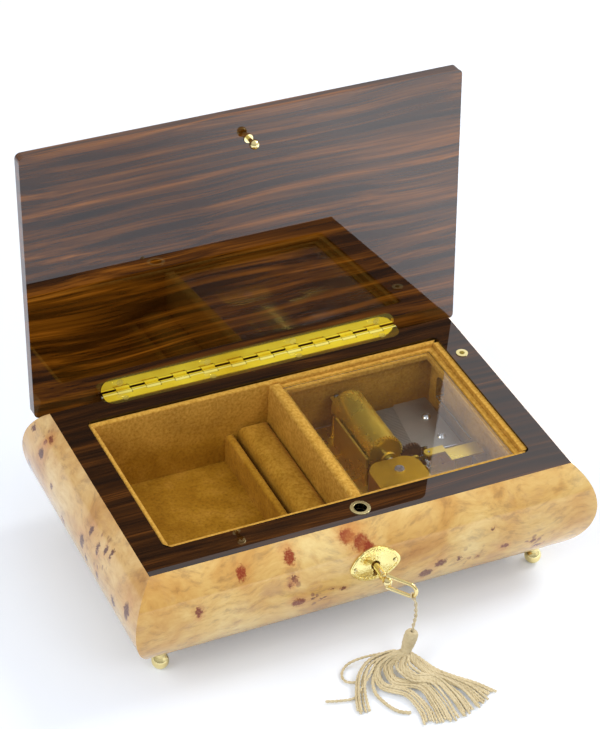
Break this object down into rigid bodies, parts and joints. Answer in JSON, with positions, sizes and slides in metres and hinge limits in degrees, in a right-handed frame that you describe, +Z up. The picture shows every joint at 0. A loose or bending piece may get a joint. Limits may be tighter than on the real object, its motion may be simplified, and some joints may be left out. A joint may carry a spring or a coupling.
{
  "type": "wind-up music box",
  "caption": "Bombe jewellery and music box with a hinged lid, lock and tasselled key, ring roll, and a wind-up comb and cylinder movement under a clear pane.",
  "frame": {"origin": "on the table under the middle of the box seen from above, the tassel left out", "axes": "+X along the front to the right, +Y to the hinge side, +Z up"},
  "size_m": [0.242, 0.2272, 0.205],
  "materials": {
    "burl": "high gloss lacquer over pale burl veneer",
    "rosewood": "mirror-gloss lacquer over dark rosewood veneer",
    "plain_wood": "plain board",
    "suede": "short-nap suede cloth",
    "pane": "clear polished",
    "brass": "polished",
    "steel": "satin",
    "fibre": "matt moulded",
    "thread": "silky twisted thread"
  },
  "bodies": {
    "case": {"case_front": "burl", "case_back": "burl", "case_left": "burl", "case_right": "burl", "top_rim": "rosewood", "bottom_board": "plain_wood", "movement_board": "plain_wood", "lining_front": "suede", "lining_back": "suede", "lining_left": "suede", "lining_right": "suede", "well_floor": "suede", "divider": "suede", "ring_bar": "suede", "ring_pad": "suede", "pane_frame": "suede", "clear_pane": "pane", "ball_feet": "brass", "hinge_base_leaf": "brass", "hinge_base_screws": "brass", "catch_ring": "brass", "escutcheon": "brass", "escutcheon_pins": "brass", "stop_ring": "brass", "bedplate": "brass", "side_plate": "brass", "cylinder_bearings": "brass", "foot_screws": "steel", "lock_case": "steel", "movement_screws": "steel", "bearing_screw": "steel", "comb": "steel", "comb_screws": "steel", "spring_cover": "steel", "cover_screw": "steel", "governor_frame": "steel", "tassel_cord": "thread", "tassel_head": "thread", "tassel_skirt": "thread"},
    "lid": {"lid": "rosewood", "hinge_lid_leaf": "brass", "hinge_pin": "steel", "hinge_lid_screws": "brass", "keeper_post": "brass"},
    "key": {"key_stem": "brass", "key_bow": "brass"},
    "bolt": {"lock_bolt": "brass"},
    "stop": {"stop_pin": "brass", "stop_spring": "steel", "stop_wire": "steel"},
    "cylinder": {"pin_cylinder": "brass", "cylinder_arbor": "steel"},
    "drum": {"spring_drum": "brass", "mainspring": "steel"},
    "train": {"train_wheel": "fibre"},
    "fan": {"governor_worm": "steel"},
    "winder": {"winding_arbor": "steel", "winding_key": "brass"}
  },
  "joints": [
    {"name": "lid_hinge", "type": "hinge", "parent": "case", "child": "lid", "pos_m": [0, 0.0753, 0.0658], "axis": [1, 0, 0], "range_deg": [0, 95]},
    {"name": "key_turn", "type": "hinge", "parent": "case", "child": "key", "pos_m": [0, -0.0686, 0.0473], "axis": [0, -1, 0], "range_deg": [0, 90]},
    {"name": "bolt_slide", "type": "slide", "parent": "case", "child": "bolt", "axis": [1, 0, 0], "range_m": [0, 0.0045]},
    {"name": "stop_press", "type": "slide", "parent": "case", "child": "stop", "axis": [0, 0, -1], "range_m": [0, 0.0015], "stiffness_N_per_m": 100, "springref_m": -0.003, "deforming": ["stop_spring"]},
    {"name": "cylinder_turn", "type": "hinge", "parent": "case", "child": "cylinder", "pos_m": [0.0413, 0.0264, 0.0458], "axis": [0, 1, 0], "continuous": true},
    {"name": "drum_turn", "type": "hinge", "parent": "case", "child": "drum", "pos_m": [0.038, -0.0203, 0.0373], "axis": [0, 0, 1], "continuous": true},
    {"name": "train_turn", "type": "hinge", "parent": "case", "child": "train", "pos_m": [0.05619, 0.0014, 0.04038], "axis": [0, 1, 0], "continuous": true},
    {"name": "fan_turn", "type": "hinge", "parent": "case", "child": "fan", "pos_m": [0.06117, -0.0048, 0.0413], "axis": [0, 0, 1], "continuous": true},
    {"name": "winder_turn", "type": "hinge", "parent": "case", "child": "winder", "pos_m": [0.038, -0.0203, 0.0173], "axis": [0, 0, 1], "continuous": true}
  ],
  "couplings": [
    {"joint": "key_turn", "follows": "bolt_slide", "rad_per_m": 349.07},
    {"joint": "drum_turn", "follows": "cylinder_turn", "ratio": 0.33333},
    {"joint": "train_turn", "follows": "cylinder_turn", "ratio": -1.5},
    {"joint": "fan_turn", "follows": "cylinder_turn", "ratio": -30}
  ]
}
